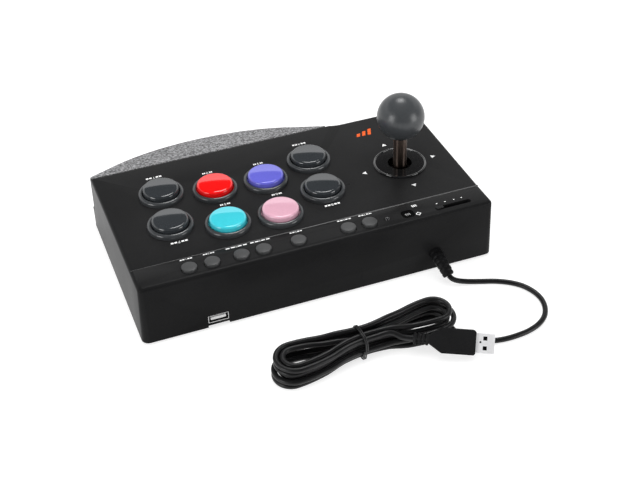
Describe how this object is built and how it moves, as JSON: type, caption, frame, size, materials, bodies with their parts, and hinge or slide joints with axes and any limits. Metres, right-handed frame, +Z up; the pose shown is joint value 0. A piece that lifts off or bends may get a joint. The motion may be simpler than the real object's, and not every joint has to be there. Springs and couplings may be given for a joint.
{
  "type": "arcade fight stick",
  "caption": "Low wedge-shaped arcade controller with a ball-top lever, large round push buttons, small keys along the back, a bowed palm rest and a bundled cord with a plug.",
  "frame": {"origin": "middle of the footprint on the table, under the rubber feet", "axes": "+X to the player's right, +Y away from the player towards the back wall with the cord, +Z up"},
  "size_m": [0.2436, 0.2482, 0.093],
  "materials": {
    "case": "fine matte grain",
    "base": "matte",
    "palm": "mottled matte",
    "rim": "satin",
    "cap_grey": "satin",
    "cap_red": "gloss",
    "cap_purple": "gloss",
    "cap_cyan": "gloss",
    "cap_pink": "gloss",
    "spring": "drawn wire",
    "board": "solder mask",
    "switch": "matte",
    "key": "satin",
    "lens": "smoked, gloss",
    "led": "clear lens",
    "port_steel": "plated",
    "port_plastic": "moulded",
    "lever_black": "moulded",
    "lever_white": "moulded",
    "shaft": "dark plated",
    "ball": "satin",
    "washer": "high gloss",
    "cord": "smooth",
    "tie": "matte",
    "plug": "moulded",
    "rubber": "matte",
    "screw": "plated"
  },
  "bodies": {
    "housing": {"upper_case": "case", "base_cover": "base", "palm_rest": "palm", "button_bezel_1": "rim", "button_bezel_2": "rim", "button_bezel_3": "rim", "button_bezel_4": "rim", "button_bezel_5": "rim", "button_bezel_6": "rim", "button_bezel_7": "rim", "button_bezel_8": "rim", "button_spring_1": "spring", "button_spring_2": "spring", "button_spring_3": "spring", "button_spring_4": "spring", "button_spring_5": "spring", "button_spring_6": "spring", "button_spring_7": "spring", "button_spring_8": "spring", "button_board": "board", "tact_switches": "switch", "key_board": "board", "mode_window": "lens", "status_led": "led", "usb_port_shell": "port_steel", "usb_port_tongue": "port_plastic", "main_board": "board", "lever_housing": "lever_black", "dust_washer": "washer", "restrictor_gate": "lever_white", "lever_switches": "switch", "cable_grip": "cord", "cord_tube": "cord", "cord_hank": "cord", "cord_tie": "tie", "plug_body": "plug", "plug_shell": "port_steel", "rubber_feet": "rubber", "screws": "screw"},
    "button_1": {"button_cap_1": "cap_grey"},
    "button_2": {"button_cap_2": "cap_red"},
    "button_3": {"button_cap_3": "cap_purple"},
    "button_4": {"button_cap_4": "cap_grey"},
    "button_5": {"button_cap_5": "cap_grey"},
    "button_6": {"button_cap_6": "cap_cyan"},
    "button_7": {"button_cap_7": "cap_pink"},
    "button_8": {"button_cap_8": "cap_grey"},
    "small_key_1": {"key_1": "key"},
    "small_key_2": {"key_2": "key"},
    "small_key_3": {"key_3": "key"},
    "small_key_4": {"key_4": "key"},
    "small_key_5": {"key_5": "key"},
    "small_key_6": {"key_6": "key"},
    "small_key_7": {"key_7": "key"},
    "mode_slide": {"mode_slider": "key"},
    "gimbal": {"lever_gimbal": "lever_white"},
    "lever": {"lever_shaft": "shaft", "ball_top": "ball", "lever_actuator": "lever_white", "lever_spring": "spring"}
  },
  "joints": [
    {"name": "button_1_press", "type": "slide", "parent": "housing", "child": "button_1", "axis": [0, -0.0206, 0.9998], "range_m": [-0.003, 0], "stiffness_N_per_m": 220, "springref_m": 0.002, "deforming": ["button_spring_1"]},
    {"name": "button_2_press", "type": "slide", "parent": "housing", "child": "button_2", "axis": [0, -0.0206, 0.9998], "range_m": [-0.003, 0], "stiffness_N_per_m": 220, "springref_m": 0.002, "deforming": ["button_spring_2"]},
    {"name": "button_3_press", "type": "slide", "parent": "housing", "child": "button_3", "axis": [0, -0.0206, 0.9998], "range_m": [-0.003, 0], "stiffness_N_per_m": 220, "springref_m": 0.002, "deforming": ["button_spring_3"]},
    {"name": "button_4_press", "type": "slide", "parent": "housing", "child": "button_4", "axis": [0, -0.0206, 0.9998], "range_m": [-0.003, 0], "stiffness_N_per_m": 220, "springref_m": 0.002, "deforming": ["button_spring_4"]},
    {"name": "button_5_press", "type": "slide", "parent": "housing", "child": "button_5", "axis": [0, -0.0206, 0.9998], "range_m": [-0.003, 0], "stiffness_N_per_m": 220, "springref_m": 0.002, "deforming": ["button_spring_5"]},
    {"name": "button_6_press", "type": "slide", "parent": "housing", "child": "button_6", "axis": [0, -0.0206, 0.9998], "range_m": [-0.003, 0], "stiffness_N_per_m": 220, "springref_m": 0.002, "deforming": ["button_spring_6"]},
    {"name": "button_7_press", "type": "slide", "parent": "housing", "child": "button_7", "axis": [0, -0.0206, 0.9998], "range_m": [-0.003, 0], "stiffness_N_per_m": 220, "springref_m": 0.002, "deforming": ["button_spring_7"]},
    {"name": "button_8_press", "type": "slide", "parent": "housing", "child": "button_8", "axis": [0, -0.0206, 0.9998], "range_m": [-0.003, 0], "stiffness_N_per_m": 220, "springref_m": 0.002, "deforming": ["button_spring_8"]},
    {"name": "small_key_1_press", "type": "slide", "parent": "housing", "child": "small_key_1", "axis": [0, -0.0482, 0.9988], "range_m": [-0.0008, 0], "stiffness_N_per_m": 600, "springref_m": 0.0006},
    {"name": "small_key_2_press", "type": "slide", "parent": "housing", "child": "small_key_2", "axis": [0, -0.0482, 0.9988], "range_m": [-0.0008, 0], "stiffness_N_per_m": 600, "springref_m": 0.0006},
    {"name": "small_key_3_press", "type": "slide", "parent": "housing", "child": "small_key_3", "axis": [0, -0.0482, 0.9988], "range_m": [-0.0008, 0], "stiffness_N_per_m": 600, "springref_m": 0.0006},
    {"name": "small_key_4_press", "type": "slide", "parent": "housing", "child": "small_key_4", "axis": [0, -0.0482, 0.9988], "range_m": [-0.0008, 0], "stiffness_N_per_m": 600, "springref_m": 0.0006},
    {"name": "small_key_5_press", "type": "slide", "parent": "housing", "child": "small_key_5", "axis": [0, -0.0482, 0.9988], "range_m": [-0.0008, 0], "stiffness_N_per_m": 600, "springref_m": 0.0006},
    {"name": "small_key_6_press", "type": "slide", "parent": "housing", "child": "small_key_6", "axis": [0, -0.0482, 0.9988], "range_m": [-0.0008, 0], "stiffness_N_per_m": 600, "springref_m": 0.0006},
    {"name": "small_key_7_press", "type": "slide", "parent": "housing", "child": "small_key_7", "axis": [0, -0.0482, 0.9988], "range_m": [-0.0008, 0], "stiffness_N_per_m": 600, "springref_m": 0.0006},
    {"name": "mode_slide_move", "type": "slide", "parent": "housing", "child": "mode_slide", "axis": [-1, 0, 0], "range_m": [0, 0.019]},
    {"name": "lever_side_tilt", "type": "hinge", "parent": "gimbal", "child": "lever", "pos_m": [-0.0788, 0.01599, 0.03193], "axis": [0, 0.9998, 0.0206], "range_deg": [-12, 12], "stiffness_Nm_per_rad": 0.35},
    {"name": "lever_fore_aft_tilt", "type": "hinge", "parent": "housing", "child": "gimbal", "pos_m": [-0.0788, 0.01599, 0.03193], "axis": [1, 0, 0], "range_deg": [-12, 12], "stiffness_Nm_per_rad": 0.35}
  ]
}
